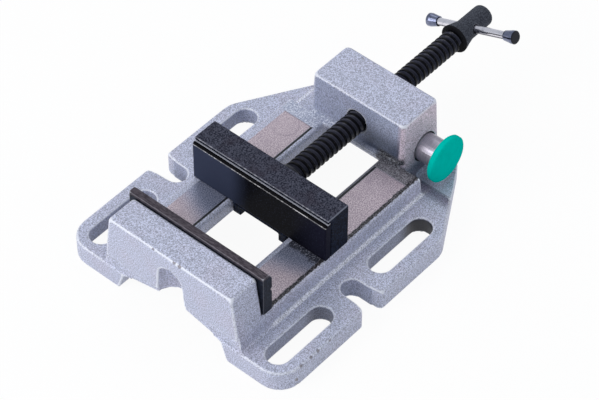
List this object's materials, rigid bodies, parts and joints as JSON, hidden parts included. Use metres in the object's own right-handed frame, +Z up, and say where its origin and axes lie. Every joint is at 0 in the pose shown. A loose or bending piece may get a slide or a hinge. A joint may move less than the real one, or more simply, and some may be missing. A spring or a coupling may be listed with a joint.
{
  "type": "machine vise",
  "caption": "Quick release drill press vise: cast base with clamping slots, sliding jaw on two rails, screw spindle with sliding bar and a push button that frees the screw.",
  "frame": {"origin": "under the middle of the whole vise, on the surface it stands on", "axes": "+X from the fixed jaw to the tommy bar along the screw, +Y to the left, +Z up"},
  "size_m": [0.2816, 0.165, 0.0582],
  "materials": {
    "cast_paint": "silver-grey hammered paint on a casting, rail tops machined bare",
    "black_plate": "blackened satin steel",
    "black_jaw": "black satin",
    "black_thread": "blackened, oiled and glossy",
    "charcoal_iron": "rough as cast, dull black",
    "bright_steel": "bright drawn and polished",
    "turned_steel": "turned, plain",
    "green_plastic": "smooth green plastic"
  },
  "bodies": {
    "base": {"base_casting": "cast_paint", "fixed_jaw_plate": "black_plate", "fixed_plate_screw_left": "black_plate", "fixed_plate_screw_right": "black_plate", "return_spring": "turned_steel"},
    "moving_jaw": {"moving_jaw": "black_jaw", "moving_jaw_plate": "black_plate", "moving_plate_screw_left": "black_plate", "moving_plate_screw_right": "black_plate", "keeper_plate": "black_plate", "keeper_screw_left": "black_plate", "keeper_screw_right": "black_plate", "retaining_clip": "turned_steel"},
    "spindle": {"screw_spindle": "black_thread", "thrust_washer": "turned_steel", "tee_head": "charcoal_iron"},
    "tommy_bar": {"tommy_bar": "bright_steel", "bar_cap_left": "turned_steel", "bar_cap_right": "turned_steel"},
    "release": {"release_plunger": "turned_steel", "release_button": "green_plastic"}
  },
  "joints": [
    {"name": "jaw_travel", "type": "slide", "parent": "base", "child": "moving_jaw", "axis": [1, 0, 0], "range_m": [-0.0444, 0.0553]},
    {"name": "spindle_turn", "type": "hinge", "parent": "moving_jaw", "child": "spindle", "pos_m": [0, 0, 0.0394], "axis": [1, 0, 0], "range_deg": [-4000, 4980]},
    {"name": "bar_slide", "type": "slide", "parent": "spindle", "child": "tommy_bar", "axis": [0, 0.9317, -0.3633], "range_m": [-0.0159, 0.0225]},
    {"name": "release_press", "type": "slide", "parent": "base", "child": "release", "axis": [0, 1, 0], "range_m": [0, 0.006], "stiffness_N_per_m": 1200, "springref_m": -0.01, "deforming": ["return_spring"]}
  ],
  "couplings": [
    {"joint": "spindle_turn", "follows": "jaw_travel", "rad_per_m": 1570.8}
  ]
}
